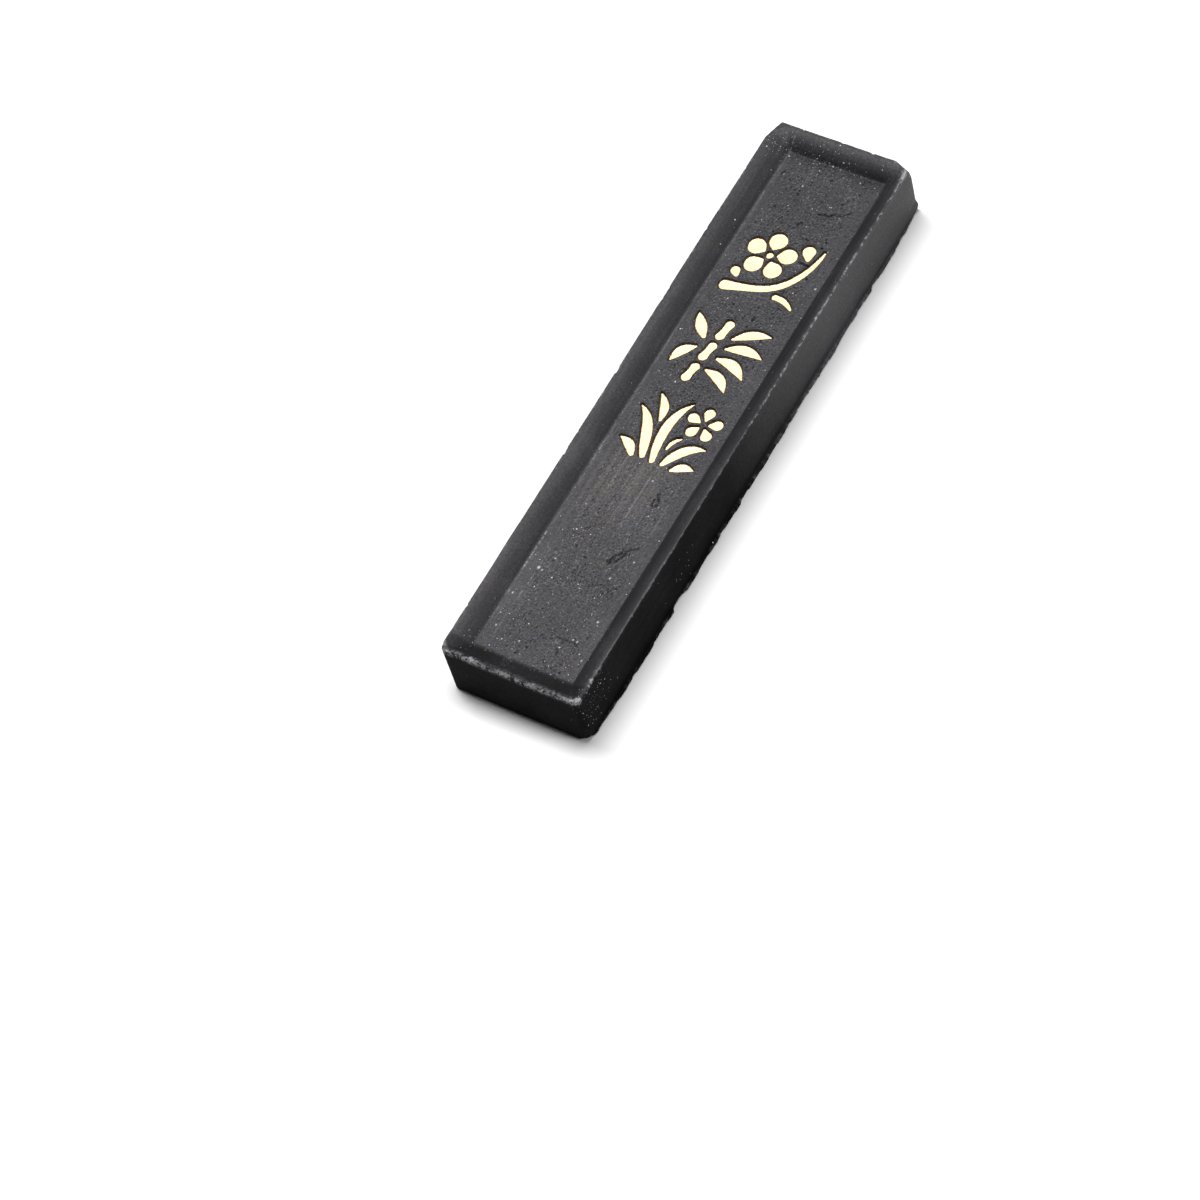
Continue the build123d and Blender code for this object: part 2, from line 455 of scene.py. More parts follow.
def at_level(points, level):
    """The same points at another level."""
    moved = points.copy()
    moved[:, 2] = level
    return moved


def border(x_count, y_count):
    """The indices of a grid's border, once round, anticlockwise from its first corner."""
    index = np.arange(x_count * y_count).reshape(y_count, x_count)
    return np.concatenate([index[0, :-1], index[:-1, -1], index[-1, :0:-1], index[:0:-1, 0]])


def grid_faces(x_count, y_count, first, flip):
    """The quads of a grid of vertices whose numbers start at first."""
    index = first + np.arange(x_count * y_count).reshape(y_count, x_count)
    quads = np.stack([index[:-1, :-1], index[:-1, 1:], index[1:, 1:], index[1:, :-1]], -1).reshape(-1, 4)
    return quads[:, ::-1] if flip else quads


def ring_faces(upper, lower):
    """The quads between two rings of the same length round the cake, facing out."""
    return np.stack([upper, np.roll(upper, -1), np.roll(lower, -1), lower], 1)[:, ::-1]


def zip_rings(fine, coarse, fine_at):
    """Triangles between two rings round the cake, where coarse vertex i stands below fine_at[i]."""
    faces = []
    count = len(fine)
    for i, here in enumerate(fine_at):
        there = fine_at[(i + 1) % len(fine_at)]
        span = (there - here) % count
        middle = span // 2
        near, far = coarse[i], coarse[(i + 1) % len(coarse)]
        for step in range(span):
            a, b = fine[(here + step) % count], fine[(here + step + 1) % count]
            faces.append((b, a, near if step < middle else far))
        faces.append((fine[(here + middle) % count], near, far))
    return np.array(faces)


def cake_grid():
    """A sharp-edged box of the cake's size: points, quads, triangles and the count of front points."""
    at_moulding, at_edge = (HALF_WIDTH - 3, MOULDING_SPACING), (HALF_WIDTH - 0.9, EDGE_SPACING)
    x_lines = mirrored((0, STROKE_SPACING), at_moulding, at_edge, (HALF_WIDTH, 0))
    y_lines = graded(
        (-HALF_LENGTH, EDGE_SPACING),
        (-HALF_LENGTH + 1, END_SPACING),
        (-HALF_LENGTH + 4, PANEL_SPACING),
        (OUTLINE_LOW[1] - 0.5, STROKE_SPACING),
        (OUTLINE_HIGH[1] + 0.5, PANEL_SPACING),
        (HALF_LENGTH - 4, END_SPACING),
        (HALF_LENGTH - 1, EDGE_SPACING),
        (HALF_LENGTH, 0),
    )
    x_coarse, y_coarse = thinned(x_lines, COARSENING), thinned(y_lines, COARSENING)
    band_levels = HEIGHT - graded((EDGE_SPACING, EDGE_SPACING), (0.9, 0.15), (1.5, 0))
    side_levels = HEIGHT - graded(
        (1.7, SIDE_SPACING), (HEIGHT - 1.2, 0.1), (HEIGHT - 0.5, 0.06), (HEIGHT, 0)
    )

    front = flat_grid(x_lines, y_lines, HEIGHT)
    points = [front]
    quads = [grid_faces(len(x_lines), len(y_lines), 0, False)]
    total = len(front)

    # The upper band of the sides repeats the front's border, row by row.
    ring = border(len(x_lines), len(y_lines))
    upper = ring
    for level in band_levels:
        lower = total + np.arange(len(ring))
        quads.append(ring_faces(upper, lower))
        points.append(at_level(front[ring], level))
        upper = lower
        total += len(ring)

    # Below it the kept columns go on down to the underside.
    columns = np.flatnonzero(np.isin(front[ring, 0], x_coarse) & np.isin(front[ring, 1], y_coarse))
    triangles = zip_rings(upper, total + np.arange(len(columns)), columns)
    for i, level in enumerate(side_levels[:-1]):
        lower = total + np.arange(len(columns))
        if i > 0:
            quads.append(ring_faces(upper, lower))
        points.append(at_level(front[ring[columns]], level))
        upper = lower
        total += len(columns)

    quads.append(ring_faces(upper, total + border(len(x_coarse), len(y_coarse))))
    quads.append(grid_faces(len(x_coarse), len(y_coarse), total, True))
    points.append(flat_grid(x_coarse, y_coarse, 0))
    return np.concatenate(points), np.concatenate(quads), triangles, len(front)


# ---------------------------------------------------------------- rounding and breaking edges


def upright_radius(plan):
    """The radius of the upright edge in each point's quarter: the far right one is nearly sharp."""
    in_far_right = (plan[:, :1] > 0) & (plan[:, 1:] > 0)
    return np.where(in_far_right, SHARP_UPRIGHT_RADIUS, UPRIGHT_RADIUS)


def rounded_plan(plan):
    """The plan with its four corners rounded: square corners are drawn in to quarter circles."""
    half = np.array([HALF_WIDTH, HALF_LENGTH])
    radius = upright_radius(plan)
    centre = np.clip(plan, radius - half, half - radius)
    out = plan - centre
    length = np.hypot(*out.T)
    longest = np.abs(out).max(1)
    return centre + out * np.where(length > 1e-9, longest / np.maximum(length, 1e-9), 1)[:, None]


def plan_inset(plan):
    """How far each point of the plan lies inside the rounded rectangle, and the way out of it."""
    half = np.array([HALF_WIDTH, HALF_LENGTH])
    radius = upright_radius(plan)
    corner = np.abs(plan) - (half - radius)
    beyond = np.maximum(corner, 0)
    outside = np.hypot(*beyond.T)
    inset = radius[:, 0] - outside - np.minimum(corner.max(1), 0)
    flat_way = np.where(corner[:, :1] > corner[:, 1:], [[1.0, 0.0]], [[0.0, 1.0]])
    way = np.where(outside[:, None] > 1e-9, beyond / np.maximum(outside, 1e-9)[:, None], flat_way)
    return inset, way * np.where(plan < 0, -1, 1)


def round_edge(inset, fall, radius):
    """Draws points near an edge onto a quarter circle: new inset from the side and fall from the face."""
    side, face = np.maximum(inset, radius), np.maximum(fall, radius)
    back = np.hypot(side - inset, face - fall)
    share = radius / np.maximum(back, 1e-9)
    near = (inset < radius) & (fall < radius)
    new_inset = np.where(near, side - (side - inset) * share, inset)
    new_fall = np.where(near, face - (face - fall) * share, fall)
    return new_inset, new_fall


# Corners and edges knocked off: a point on the broken surface, the way it faces, and its roughness
CHIPS = [
    ((-10.95, 47.8, 10.7), (-1.0, 0.24, 0.12), 0.14),
    ((-10.6, 48.75, 10.7), (-1.0, 0.37, 0.12), 0.18),
    ((9.6, 49.75, 10.7), (0.4, 1.0, 0.3), 0.15),
    ((11.3, 49.85, 10.35), (0.55, 0.5, 0.9), 0.2),
    ((11.0, 50.0, 0.0), (1.0, 0.25, -0.9), 0.15),
    ((-11.3, -49.6, 10.3), (-1.0, -0.8, 0.7), 0.25),
    ((-11.3, -49.6, 5.0), (-1.0, -1.1, 0.0), 0.2),
    ((11.3, -49.5, 10.4), (0.8, -0.9, 0.9), 0.3),
    ((11.3, -49.4, 2.0), (1.0, -1.0, -0.4), 0.25),
]


def knock_off(points, at, facing, roughness, seed):
    """Pushes what stands beyond a broken surface back onto it."""
    facing = np.array(facing) / np.linalg.norm(facing)
    grain = roughness * rough_noise(points, 1.1, seed)
    beyond = (points - np.array(at)) @ facing - grain
    return points - np.maximum(beyond, 0)[:, None] * facing


def warp(points):
    """How far the drying cake has warped out of its true shape."""
    return 0.07 * soft_noise(points, 14, seed=31) + 0.035 * soft_noise(points, 5, seed=32)


# ---------------------------------------------------------------- the worn cake


# Where dust lies thickest: the place, its reach along each axis, and how dusty it is
DUSTY_PLACES = [
    ((-3, 47, 10), (8, 2.2, 3), 2.0),
    ((-9.5, 45, 10), (1.6, 4, 3), 0.8),
    ((-8.8, -46.2, 9.5), (1.5, 1.6, 2), 2.2),
    ((11.3, -46.5, 7), (1.5, 3.5, 4), 1.8),
    ((11.3, -18, 5), (1, 7, 3), 0.25),
]
DUST_EVERYWHERE = 0.02
PANEL_HALF_WIDTH = 8.7
PANEL_HALF_LENGTH = 47.3
DUST_ON_PANEL = 0.1
DUST_ON_NEAR_PANEL = 0.3

# Where hands have rubbed the panel: the place, its reach along each axis, and how strongly
HANDLED_PLACES = [
    ((-1, -14, 0), (7, 9, 1), 1.0),
    ((-5.6, -30, 0), (1.8, 18, 1), 0.4),
]

# The right rim's outer edge leans out, over this depth and width.
LIP = 0.11
LIP_DEPTH = 0.8
LIP_WIDTH = 0.5

# The panel's pits: (grid, share, smallest radius, largest radius, seed), and its crumbs
SMALL_HOLES = (0.42, 0.6, 0.08, 0.2, 51)
LARGE_HOLES = (1.5, 0.3, 0.12, 0.3, 55)
SMALL_CRUMBS = (0.5, 0.6, 0.07, 0.18, 58)
LARGE_CRUMBS = (1.7, 0.3, 0.12, 0.28, 62)
HOLE_DEPTH = 0.065
CRUMB_HEIGHT = 0.055
STUCK_HEIGHT = 0.07
RIDGE_HEIGHT = 0.11
BITE_DEPTH = 0.16

# The burr's width: at its least, what it gains away from the ends, at each step, and at its most
LEAST_BURR = 0.08
BURR_SWELL = 0.34
BURR_STEP = 0.09
MOST_BURR = 0.64


class WornCake:
    """The cake's surface in millimetres: arrays with one row or one number for each of its points."""

    def __init__(self):
        self.sharp, quads, triangles, front_count = cake_grid()
        self.faces = [quads, triangles]
        self.points = self.sharp.copy()
        self.points[:, :2] = rounded_plan(self.sharp[:, :2])
        self.spot = at_level(self.points, 0)
        self.inset, self.way = plan_inset(self.points[:, :2])
        self.fall = HEIGHT - self.points[:, 2]
        self.on_front = np.arange(len(self.points)) < front_count
        self.on_back = self.sharp[:, 2] == 0
        self.on_side = ~(self.on_front | self.on_back)
        self.at_right = self.way[:, 0] > 0.9
        self.find_worn_places()
        self.wear_edges()
        self.sink_panels()
        self.press_strokes()
        self.grade_texture()
        self.roughen()
        self.bite_rim()
        self.squeeze_burr()
        for i, (at, facing, roughness) in enumerate(CHIPS):
            self.points = knock_off(self.points, at, facing, roughness, seed=80 + 4 * i)

        # Nothing reaches below the surface that the stick rests on.
        self.points[:, 2] = np.maximum(self.points[:, 2], 0)

    def find_worn_places(self):
        """How far each point belongs to the worn ends and corners, and how ragged it is."""
        y = self.spot[:, 1]
        self.near_end = smooth_step(-y, HALF_LENGTH - 1.6, HALF_LENGTH - 0.8)
        self.far_end = smooth_step(y, HALF_LENGTH - 1.2, HALF_LENGTH - 0.6)
        self.near_right = zone(self.spot, (HALF_WIDTH, -HALF_LENGTH, 0), (1.5, 5, 1))
        self.near_left = zone(self.spot, (-HALF_WIDTH, -HALF_LENGTH, 0), (3, 4, 1))
        self.far_right = zone(self.spot, (HALF_WIDTH - 0.5, HALF_LENGTH - 1.5, 0), (1.0, 1.4, 1))
        self.battered = np.clip(self.near_end + self.near_right, 0, 1)
        self.ragged = rough_noise(self.spot, 2.4, seed=11)

    def wear_edges(self):
        """Rounds the rim and the foot, the rim most at the near end, and leans the right rim out."""
        rim_radius = RIM_RADIUS + 0.07 * self.ragged + 0.17 * self.battered - 0.06 * self.far_end
        rim_radius = np.clip(rim_radius, 0.06, 0.5)
        base_radius = np.clip(BASE_RADIUS + 0.1 * rough_noise(self.spot, 2.0, seed=14), 0.1, 0.5)
        rise = self.sharp[:, 2]
        inset, fall = round_edge(self.inset, self.fall, rim_radius)
        inset, new_rise = round_edge(inset, rise, base_radius)
        self.points[:, :2] -= self.way * (inset - self.inset)[:, None]
        self.points[:, 2] -= fall - self.fall
        self.points[:, 2] += new_rise - rise
        self.to_edge = np.hypot(np.maximum(inset, 0), np.maximum(fall, 0))
        self.plan = self.points[:, :2].copy()
        self.points[:, 0] += LIP * hump(self.fall, LIP_DEPTH) * hump(self.inset, LIP_WIDTH) * self.at_right

    def sink_panels(self):
        """Sinks the framed panels of the front and the back."""
        sunk = np.where(self.on_front, front_fall(self.plan), 0)
        self.back_rise = np.where(self.on_back, back_fall(self.plan), 0)
        self.on_panel = self.on_front * smooth_step(sunk, 1.5, FRONT_PANEL_DEPTH)
        self.points[:, 2] += self.back_rise - sunk

    def press_strokes(self):
        """Presses the strokes in, each with a softened lip and a steep wall."""
        stroke = np.full(len(self.points), FAR_OFF)
        stroke[self.on_front] = distance_to_strokes(self.plan[self.on_front])
        stroke += 0.035 * rough_noise(self.points, 0.5, seed=21)
        self.pressed = smooth_step(-stroke, -0.05, STROKE_WALL - 0.05) * self.on_front
        bulge = 0.03 * hump(stroke - 0.16, 0.14) * self.on_front
        self.points[:, 2] -= STROKE_DEPTH * self.pressed - bulge

    def grade_texture(self):
        """Works out where the panel is granular, pitted, creased, ridged and scratched."""
        x, y = self.plan.T
        granular = smooth_step(x + 0.6 * soft_noise(self.spot, 3, seed=36), -7.0, -4.5)
        granular *= 1 - 0.8 * smooth_step(x + 0.4 * soft_noise(self.spot, 3, seed=37), 5.8, 6.8)
        granular *= 1 - 0.25 * smooth_step(-y, 30, 36)
        self.granular = self.on_panel * (1 - self.pressed) * (0.35 + 0.65 * granular)
        crowding = smooth_step(rough_noise(self.spot, 3.5, seed=38), -0.5, 0.6)
        small_holes = pits(self.plan, *SMALL_HOLES) * (0.35 + 0.65 * crowding)
        self.holes = np.maximum(small_holes, pits(self.plan, *LARGE_HOLES))
        self.crumbs = np.maximum(pits(self.plan, *SMALL_CRUMBS), pits(self.plan, *LARGE_CRUMBS))
        self.stuck = stuck_crumbs(self.plan) * self.on_front
        self.folds = creases(self.plan, self.points) * self.on_panel
        self.scuffs = scratches(self.plan, self.points) * self.on_panel

        # A ridge runs along the panel just inside the left moulding, strongest in the near half.
        from_left_foot = HALF_WIDTH + x - PANEL_SKEW * y - sum(LEFT_MOULDING[:2])
        self.ridge = hump(from_left_foot - 0.3, 0.13) * (0.35 + 0.65 * smooth_step(-y, 5, 14))
        self.ridge *= smooth_step(y, -44, -36) * self.on_front
        self.ridge *= smooth_step(rough_noise(self.spot, (0.6, 1.6, 1), seed=46), -0.5, 0.3)

    def roughen(self):
        """Warps the cake and raises the grain of its surface, with its pits, crumbs and creases."""
        out = np.column_stack([self.way, np.zeros(len(self.points))])
        out[~self.on_side] = 0
        out[self.on_front, 2] = 1
        out[self.on_back, 2] = -1
        grain = 0.012 * rough_noise(self.points, 0.5, seed=33)
        grain += 0.01 * soft_noise(self.points, (0.3, 6.0, 0.3), seed=34)
        crumble = 0.12 * rough_noise(self.points, 0.5, seed=66) * self.battered * hump(self.fall, 1.2)
        relief = grain * (1 - 0.6 * self.pressed)
        relief += (CRUMB_HEIGHT * self.crumbs - HOLE_DEPTH * self.holes) * self.granular
        relief += crumble - self.folds
        relief += RIDGE_HEIGHT * self.ridge + STUCK_HEIGHT * self.stuck

        # The back's flat rim stays flat, since the stick rests on it.
        settle = np.where(self.on_back, smooth_step(self.back_rise, 0.02, 0.2), 1)
        self.points += out * ((warp(self.points) + relief) * settle)[:, None]

    def bite_rim(self):
        """Takes shallow bites out of the rim's outer edge."""
        self.at_edge = hump(self.to_edge, 0.22 + 0.45 * self.battered + 0.3 * self.far_right)
        self.bite = smooth_step(rough_noise(self.spot, 1.3, seed=61), 0.25, 0.7) * self.at_edge
        self.points[:, 2] -= BITE_DEPTH * self.bite
        self.points[:, :2] -= self.way * (BITE_DEPTH * self.bite)[:, None]

    def squeeze_burr(self):
        """Squeezes out the ragged burr along both long sides, with a lump at the far right corner."""
        along = self.spot * (0.1, 1, 0)
        steps = smooth_step(soft_noise(along, 2.4, seed=71), -0.06, 0.06)
        steps += smooth_step(soft_noise(along, 1.3, seed=72), 0, 0.1)
        taper = smooth_step(HALF_LENGTH - np.abs(self.plan[:, 1]), -1, 16)
        burr = LEAST_BURR + BURR_SWELL * taper + BURR_STEP * steps * (0.4 + taper)
        burr += 0.04 * rough_noise(self.spot, 0.8, seed=74)
        burr *= 1 - 0.8 * smooth_step(soft_noise(along, 5.0, seed=75), 0.62, 0.75)
        burr = np.clip(burr, 0, MOST_BURR)
        ends = smooth_step(HALF_LENGTH - 0.8 - np.abs(self.points[:, 1]), 0, 1.2)
        self.at_seam = smooth_step(BURR_THICKNESS + 0.12 - self.sharp[:, 2], 0, 0.14)
        self.at_seam *= (np.abs(self.way[:, 0]) > 0.9) * smooth_step(-self.inset, -0.45, 0.0)
        self.points[:, :2] += self.way * (self.at_seam * ends * burr)[:, None]
        lump = zone(self.points, (HALF_WIDTH, HALF_LENGTH, 1.3), (1, 1.4, 0.8)) * self.on_side
        self.points[:, :2] += (0.3 * lump)[:, None] * [0.85, 0.5]

    def wear_and_highlight(self):
        """How pale each point is worn: rubbed edges, bites, the burr, the ridge and the scratches, with a
        painted highlight on the far half of the right rim.
        """
        x, y = self.plan.T
        # The far half of the right rim is paler: partly wear, partly a painted highlight.
        far_rim_highlight = 0.3 * smooth_step(x, 5, 10) * smooth_step(y, -10, 25)
        patches = rough_noise(self.spot, (0.5, 0.6, 1), seed=15) + 0.35 * self.near_end
        patches = smooth_step(patches + 0.4 * self.far_right + 0.5 * far_rim_highlight, -0.02, 0.34)
        exposed = 0.6 + 0.4 * self.ragged + 0.1 * self.near_end + 0.9 * self.near_right
        exposed += 0.4 * self.near_left + 1.3 * far_rim_highlight + 0.55 * self.far_right
        exposed += self.near_end * np.where(self.on_side, 0.75, -0.25)
        unbroken = (1 - self.battered) * (1 - self.far_right)
        exposed += self.at_right * np.where(self.on_side, 0.5, -0.3) * unbroken
        worn = self.at_edge * (0.08 + patches * exposed) + self.bite + 0.35 * self.at_seam * patches
        return np.clip(np.maximum(worn, np.maximum(0.75 * self.ridge, 0.9 * self.scuffs)), 0, 2)

    def painted_shade_mask(self):
        """Where painted shade makes the skin blackest: the near end, the right side's near half and the
        end feet.
        """
        x, y = self.plan.T
        near_foot = 0.5 * smooth_step(-y, 46.6, 47.2)
        far_foot = 0.4 * hump(y - 46.6, 0.5) * smooth_step(8.8 - np.abs(x), 0, 0.8)
        on_near_end = smooth_step(-self.way[:, 1], 0.3, 0.8)
        on_right_side = smooth_step(-y, -26, 9) * (self.way[:, 0] > 0)
        shaded_side = np.maximum(on_near_end, on_right_side)
        return self.on_front * (near_foot + far_foot) + self.on_side * shaded_side

    def dustiness(self):
        """How much pale dust has settled at each point."""
        x, y, _ = self.points.T
        total = np.full(len(self.points), DUST_EVERYWHERE)
        for centre, reach, amount in DUSTY_PLACES:
            total += amount * zone(self.points, centre, reach)
        on_panel = (np.abs(x) < PANEL_HALF_WIDTH) & (np.abs(y) < PANEL_HALF_LENGTH)
        return total + on_panel * (DUST_ON_PANEL + DUST_ON_NEAR_PANEL * smooth_step(-y, 20, 34))

    def material_values(self):
        """What the material reads at each point."""
        handled = sum(amount * zone(self.spot, centre, reach) for centre, reach, amount in HANDLED_PLACES)
        return {
            "wear_and_highlight": self.wear_and_highlight(),
            "stuck": self.stuck,
            # Pits and creases, which the material darkens as painted shade
            "shaded_pits": np.maximum(self.holes * self.granular, np.clip(self.folds / 0.2, 0, 1)),
            "crumb": self.crumbs * self.granular,
            "granular": np.clip(self.granular + 0.3 * (1 - self.on_panel), 0, 1),
            "handled": np.clip(handled, 0, 1) * self.on_panel,
            "dust": self.dustiness(),
            "painted_shade": self.painted_shade_mask(),
        }


def mesh_from(name, points, faces):
    """A smooth-shaded object made from points in millimetres and lists of faces."""
    mesh = bpy.data.meshes.new(name)
    corners = np.concatenate([f.ravel() for f in faces])
    sizes = np.concatenate([np.full(len(f), f.shape[1]) for f in faces])
    mesh.vertices.add(len(points))
    mesh.vertices.foreach_set("co", (points * MM).astype(np.float32).ravel())
    mesh.loops.add(len(corners))
    mesh.loops.foreach_set("vertex_index", corners.astype(np.int32))
    mesh.polygons.add(len(sizes))
    starts = np.concatenate([[0], np.cumsum(sizes)[:-1]])
    mesh.polygons.foreach_set("loop_start", starts.astype(np.int32))
    mesh.polygons.foreach_set("loop_total", sizes.astype(np.int32))
    mesh.update(calc_edges=True)
    mesh.validate()
    mesh.shade_smooth()
    piece = bpy.data.objects.new(name, mesh)
    bpy.context.scene.collection.objects.link(piece)
    return piece


def point_values(piece, name, values):
    """Keeps one number at each of a piece's points, for its material to read."""
    attribute = piece.data.attributes.new(name, "FLOAT", "POINT")
    attribute.data.foreach_set("value", values.astype(np.float32))


def add_cake(material):
    """The worn cake, standing for its CAD node."""
    worn = WornCake()
    cake = mesh_from("ink_cake", worn.points, worn.faces)
    for name, numbers in worn.material_values().items():
        point_values(cake, name, numbers)
    cake.data.materials.append(material)
    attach(cake, BODY)
    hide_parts(CAKE)


# ---------------------------------------------------------------- gilt

GILT_SPACING = 0.08
GILT_INSET = 0.02
GILT_RAGGEDNESS = 0.1
GILT_THICKNESS = 0.12
GILT_CLIMB = 0.06


def trimmed_grid(plan, shape, inside):
    """The quads of a grid that have a corner inside, and the numbers of the grid points they use."""
    inside = inside.reshape(shape)
    cells = inside[:-1, :-1] | inside[:-1, 1:] | inside[1:, 1:] | inside[1:, :-1]
    index = np.arange(len(plan)).reshape(shape)
    quads = np.stack([index[:-1, :-1], index[:-1, 1:], index[1:, 1:], index[1:, :-1]], -1)[cells]
    used = np.unique(quads)
    return np.searchsorted(used, quads), used


def walls_between(quads, count):
    """The quads that join the border of a sheet to the same border of its underside."""
    twins = {(a, b): (b, a) for quad in quads for a, b in zip(quad, np.roll(quad, -1))}
    rim = np.array([edge for edge, twin in twins.items() if twin not in twins])
    return np.column_stack([rim[:, 1], rim[:, 0], rim[:, 0] + count, rim[:, 1] + count])


def add_gilt(node, material):
    """The paint in one stroke: a thin uneven sheet that climbs a little at the pocket's wall."""
    outline = OUTLINES[node]
    low, high = outline.min((0, 1)) - 0.2, outline.max((0, 1)) + 0.2
    x, y = np.meshgrid(np.arange(low[0], high[0], GILT_SPACING), np.arange(low[1], high[1], GILT_SPACING))
    plan = np.stack([x.ravel(), y.ravel()], 1)
    flat = np.column_stack([plan, np.full(len(plan), PAINT_BASE)])
    distance, away = distance_to_outline(plan, outline)
    ragged = GILT_INSET + GILT_RAGGEDNESS * np.maximum(rough_noise(flat, 0.6, seed=101), -0.3)
    beyond = distance + ragged
    quads, used = trimmed_grid(plan, x.shape, beyond < 0)

    bottom = flat[used]
    bottom[:, :2] -= away[used] * np.maximum(beyond[used], 0)[:, None]
    depth_in = np.maximum(-beyond[used], 0)
    climb = GILT_CLIMB * np.exp(-depth_in / 0.1)
    swell = 0.03 * rough_noise(bottom, 0.9, seed=111) + 0.012 * rough_noise(bottom, 0.25, seed=115)
    bottom[:, 2] += warp(bottom)
    top = bottom.copy()
    top[:, 2] += GILT_THICKNESS + climb + swell

    count = len(top)
    faces = [quads, quads[:, ::-1] + count, walls_between(quads, count)]
    piece = mesh_from(node + "_gilt", np.concatenate([top, bottom]), faces)
    point_values(piece, "depth_in", np.concatenate([depth_in, np.zeros(count)]))
    piece.data.materials.append(material)
    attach(piece, BODY)
    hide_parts(node)


# ---------------------------------------------------------------- materials


class Nodes:
    """A short way to write a material's node tree."""

    def __init__(self, name):
        self.material = bpy.data.materials.new(name)
        self.material.use_nodes = True
        self.tree = self.material.node_tree
        self.shader = self.tree.nodes["Principled BSDF"]
        self.place = self.add("ShaderNodeTexCoord").outputs["Object"]

    def add(self, kind, inputs=None, **settings):
        node = self.tree.nodes.new(kind)
        for key, value in settings.items():
            setattr(node, key, value)
        for key, value in (inputs or {}).items():
            self.put(node.inputs[key], value)
        return node

    def put(self, socket, value):
        if isinstance(value, bpy.types.NodeSocket):
            self.tree.links.new(value, socket)
        else:
            socket.default_value = value

    def math(self, operation, first, second=0.0, third=0.0, clamp=False):
        node = self.add("ShaderNodeMath", operation=operation, use_clamp=clamp)
        for socket, value in zip(node.inputs, (first, second, third)):
            self.put(socket, value)
        return node.outputs[0]

    def attribute(self, name):
        return self.add("ShaderNodeAttribute", attribute_name=name).outputs["Fac"]

    def stretched(self, scale):
        return self.add("ShaderNodeMapping", {"Vector": self.place, "Scale": scale}).outputs[0]

    def noise(self, scale, detail=3.0, roughness=0.55, stretch=(1, 1, 1)):
        inputs = {"Scale": scale, "Detail": detail, "Roughness": roughness}
        inputs["Vector"] = self.stretched(stretch)
        return self.add("ShaderNodeTexNoise", inputs).outputs["Fac"]

    def ramp(self, value, *stops):
        node = self.add("ShaderNodeValToRGB", {"Fac": value})
        elements = node.color_ramp.elements
        while len(elements) < len(stops):
            elements.new(0.5)
        for element, (position, level) in zip(elements, stops):
            element.position = position
            colour = level if isinstance(level, tuple) else (level,) * 3
            element.color = (*colour, 1)
        return node.outputs["Color"]

    def mix(self, share, first, second):
        node = self.add("ShaderNodeMix", data_type="RGBA")
        self.put(node.inputs["Factor"], share)
        self.put(node.inputs["A"], first)
        self.put(node.inputs["B"], second)
        return node.outputs["Result"]

    def bump(self, height, distance, strength):
        inputs = {"Height": height, "Distance": distance, "Strength": strength}
        return self.add("ShaderNodeBump", inputs).outputs["Normal"]


# The ink's colours: its skin from pore to crumb, polished by hands, worn (on the far right rim also a
# painted highlight), and pale grains
DEEP_BLACK = (0.0035, 0.0034, 0.0036)
INK_BLACK = (0.0105, 0.0102, 0.011)
INK_GREY = (0.045, 0.044, 0.047)
RUBBED_BROWN = (0.032, 0.0262, 0.0232, 1)
WEAR_AND_HIGHLIGHT_GREY = (0.25, 0.25, 0.26, 1)
GRAIN_GREY = (0.5, 0.5, 0.52, 1)
COOL_SHEEN = (0.91, 0.91, 1.0, 1)
WARM_SHEEN = (0.99, 0.94, 0.94, 1)
INK_BUMP = 0.00006

# The dust specks: the fineness of each layer's cells, and how far dust lowers the bar to hold one
SPECK_LAYERS = ((1300.0, -0.3), (2100.0, -0.36), (3300.0, -0.34))
SPECK_WOBBLE = 0.00012

# The gold paint's colours: thick, thickest and palest, and thin at a stroke's edges
DEEP_GOLD = (0.86, 0.61, 0.3, 1)
PALE_GOLD = (0.95, 0.74, 0.45, 1)
THIN_GOLD = (0.4, 0.16, 0.08, 1)
GOLD_BUMP = 0.00003


def add_specks(n, colour):
    """The colour with specks of dust strewn over it, ragged in outline and most where dust lies."""
    dust = n.attribute("dust")
    wobble = n.add("ShaderNodeTexNoise", {"Vector": n.place, "Scale": 9000.0, "Detail": 1.0})
    wobble = {0: wobble.outputs["Color"], "Scale": SPECK_WOBBLE}
    wobble = n.add("ShaderNodeVectorMath", wobble, operation="SCALE").outputs[0]
    shaken = n.add("ShaderNodeVectorMath", {0: n.place, 1: wobble}, operation="ADD").outputs[0]
    for scale, spread in SPECK_LAYERS:
        cells = n.add("ShaderNodeTexVoronoi", {"Vector": shaken, "Scale": scale})
        lots = n.add("ShaderNodeSeparateColor", {"Color": cells.outputs["Color"]})
        bar = n.math("MULTIPLY_ADD", dust, spread, 1.0)
        chosen = n.math("GREATER_THAN", lots.outputs["Red"], bar)
        size = n.math("MULTIPLY_ADD", lots.outputs["Green"], 0.1, 0.08)
        speck = n.math("MULTIPLY", chosen, n.math("LESS_THAN", cells.outputs["Distance"], size))
        speck = n.math("MULTIPLY", speck, n.math("MULTIPLY_ADD", lots.outputs["Blue"], 0.7, 0.3))
        colour = n.mix(speck, colour, GRAIN_GREY)
    return colour


